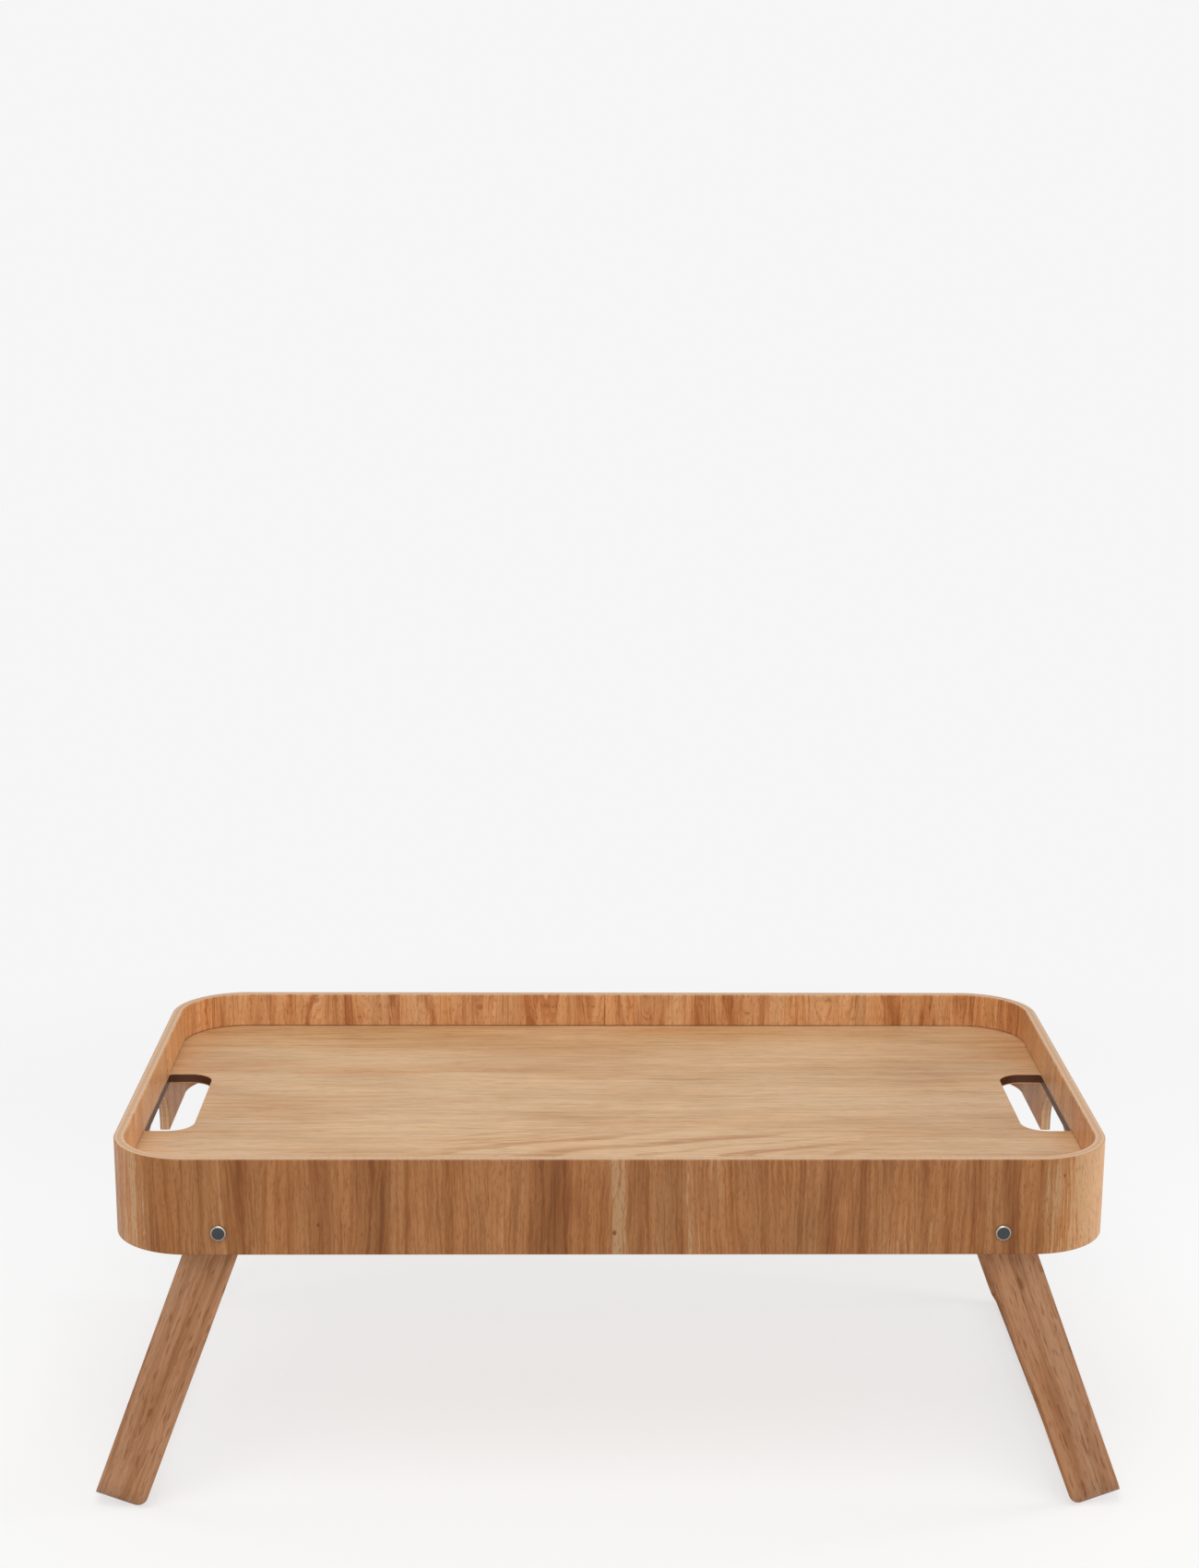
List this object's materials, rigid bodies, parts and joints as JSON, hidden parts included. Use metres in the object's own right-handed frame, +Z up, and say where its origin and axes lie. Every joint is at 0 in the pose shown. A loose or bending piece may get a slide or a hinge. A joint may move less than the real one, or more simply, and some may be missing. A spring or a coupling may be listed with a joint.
{
  "type": "bed tray",
  "caption": "Bed tray of bent, oak-faced plywood: a rounded rim round a recessed panel with a hand hole at each end, on folding U-shaped leg frames.",
  "frame": {"origin": "on the floor under the middle of the tray, with both leg frames open", "axes": "+X along the tray's length, to the right as seen from its front; +Y towards its back; +Z up"},
  "size_m": [0.6336, 0.3538, 0.2316],
  "materials": {
    "rim_oak": "satin lacquer on oak veneer, grain upright",
    "panel_oak": "satin lacquer on oak veneer, grain along the tray",
    "leg_oak": "satin lacquer on oak veneer, grain along the strip",
    "plated_steel": "nickel plated, turned",
    "screw_steel": "zinc plated",
    "nylon": "moulded, natural"
  },
  "bodies": {
    "tray": {"rim_band": "rim_oak", "base_panel": "panel_oak", "front_left_pivot_post": "plated_steel", "front_right_pivot_post": "plated_steel", "rear_left_pivot_post": "plated_steel", "rear_right_pivot_post": "plated_steel", "front_left_pivot_screw": "screw_steel", "front_right_pivot_screw": "screw_steel", "rear_left_pivot_screw": "screw_steel", "rear_right_pivot_screw": "screw_steel", "front_left_spacer_washer": "nylon", "front_right_spacer_washer": "nylon", "rear_left_spacer_washer": "nylon", "rear_right_spacer_washer": "nylon", "front_left_inner_washer": "plated_steel", "front_right_inner_washer": "plated_steel", "rear_left_inner_washer": "plated_steel", "rear_right_inner_washer": "plated_steel"},
    "left_frame": {"left_leg_frame": "leg_oak"},
    "right_frame": {"right_leg_frame": "leg_oak"}
  },
  "joints": [
    {"name": "left_frame_fold", "type": "hinge", "parent": "tray", "child": "left_frame", "pos_m": [-0.233, 0, 0.18583], "axis": [0, -1, 0], "range_deg": [0, 110.6]},
    {"name": "right_frame_fold", "type": "hinge", "parent": "tray", "child": "right_frame", "pos_m": [0.233, 0, 0.18583], "axis": [0, 1, 0], "range_deg": [0, 110.6]}
  ]
}
